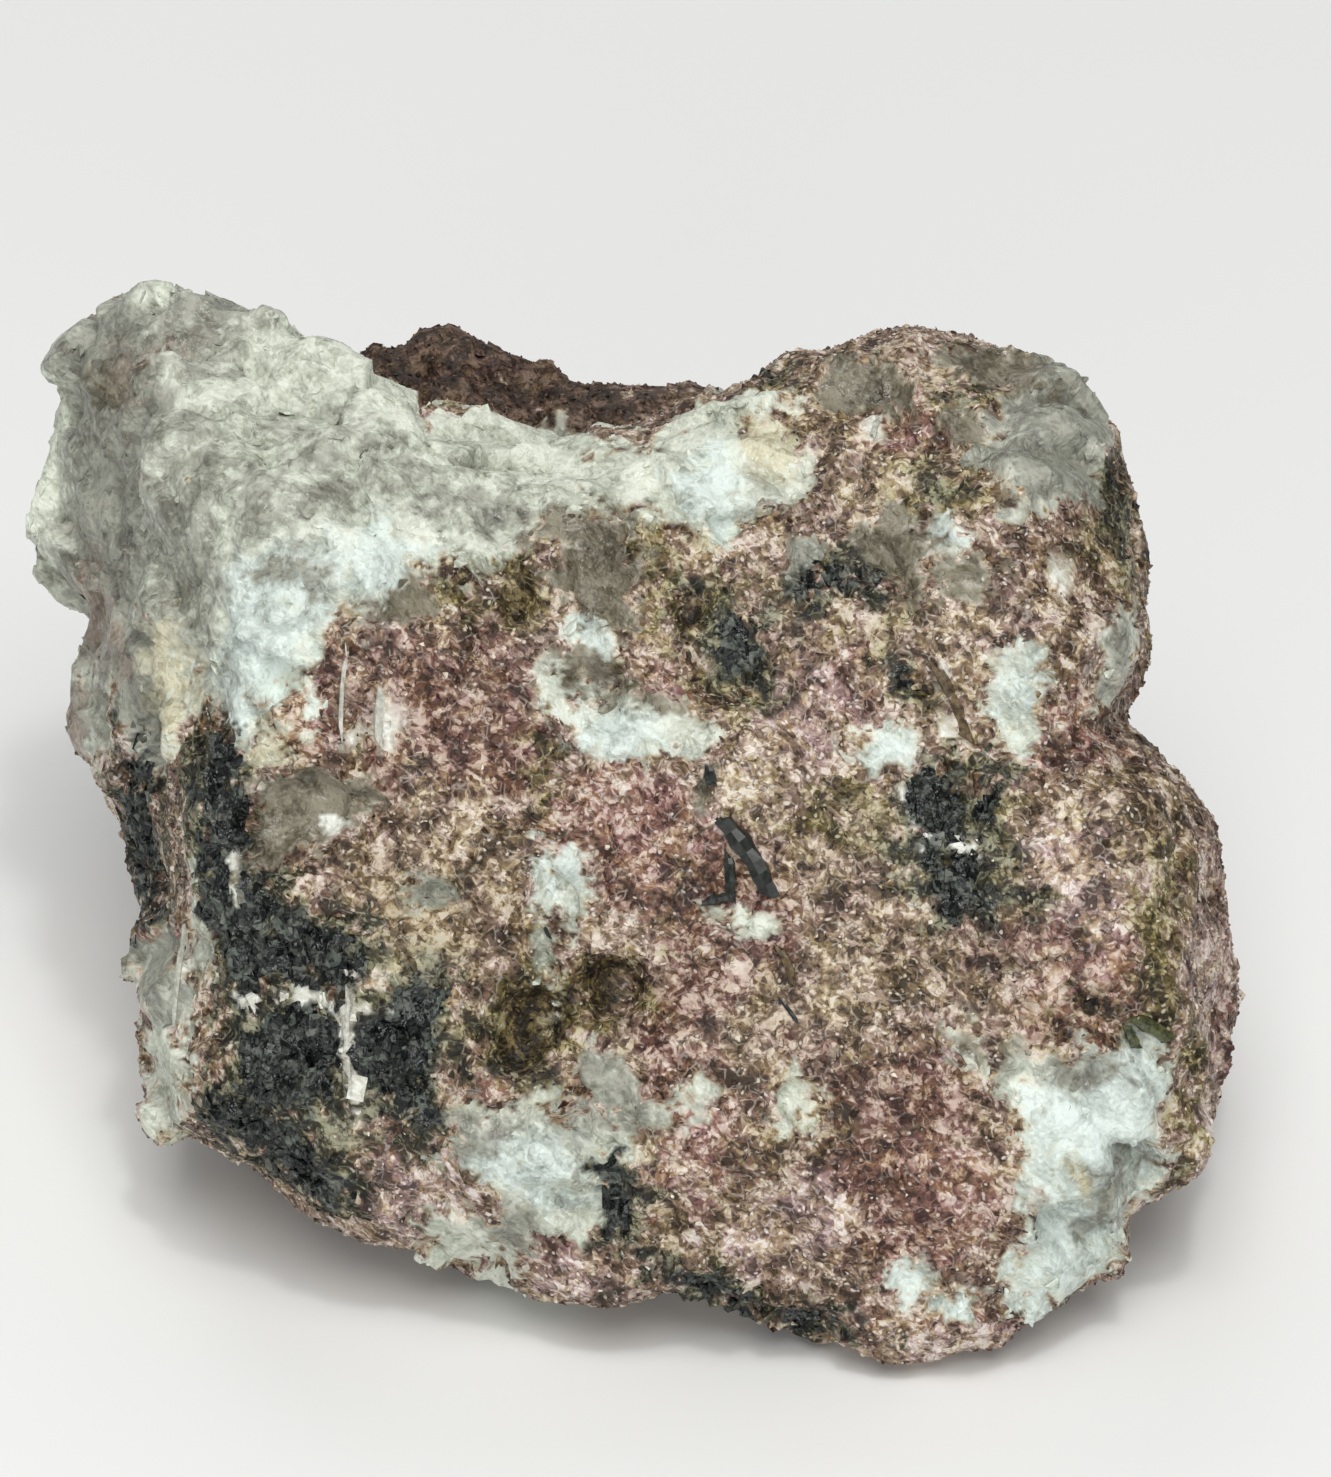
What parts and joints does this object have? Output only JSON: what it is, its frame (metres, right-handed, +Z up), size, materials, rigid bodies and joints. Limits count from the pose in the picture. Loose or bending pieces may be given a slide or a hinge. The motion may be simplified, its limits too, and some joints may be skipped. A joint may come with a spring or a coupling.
{
  "type": "pink tourmaline specimen",
  "caption": "Rough block of rock that rests on a small flat spot: granular pink tourmaline with milky quartz lobes, black schorl and a dark knob behind a saddle.",
  "frame": {"origin": "on the surface that the block rests on, under the middle of the block's box", "axes": "+X to the right along the broad showing face, +Y away from the viewer, +Z up"},
  "size_m": [0.1212, 0.0998, 0.0812],
  "materials": {
    "tourmaline_rock": "rough broken rock with small glints from its grains"
  },
  "bodies": {
    "root": {"tourmaline_rock": "tourmaline_rock"}
  },
  "joints": []
}
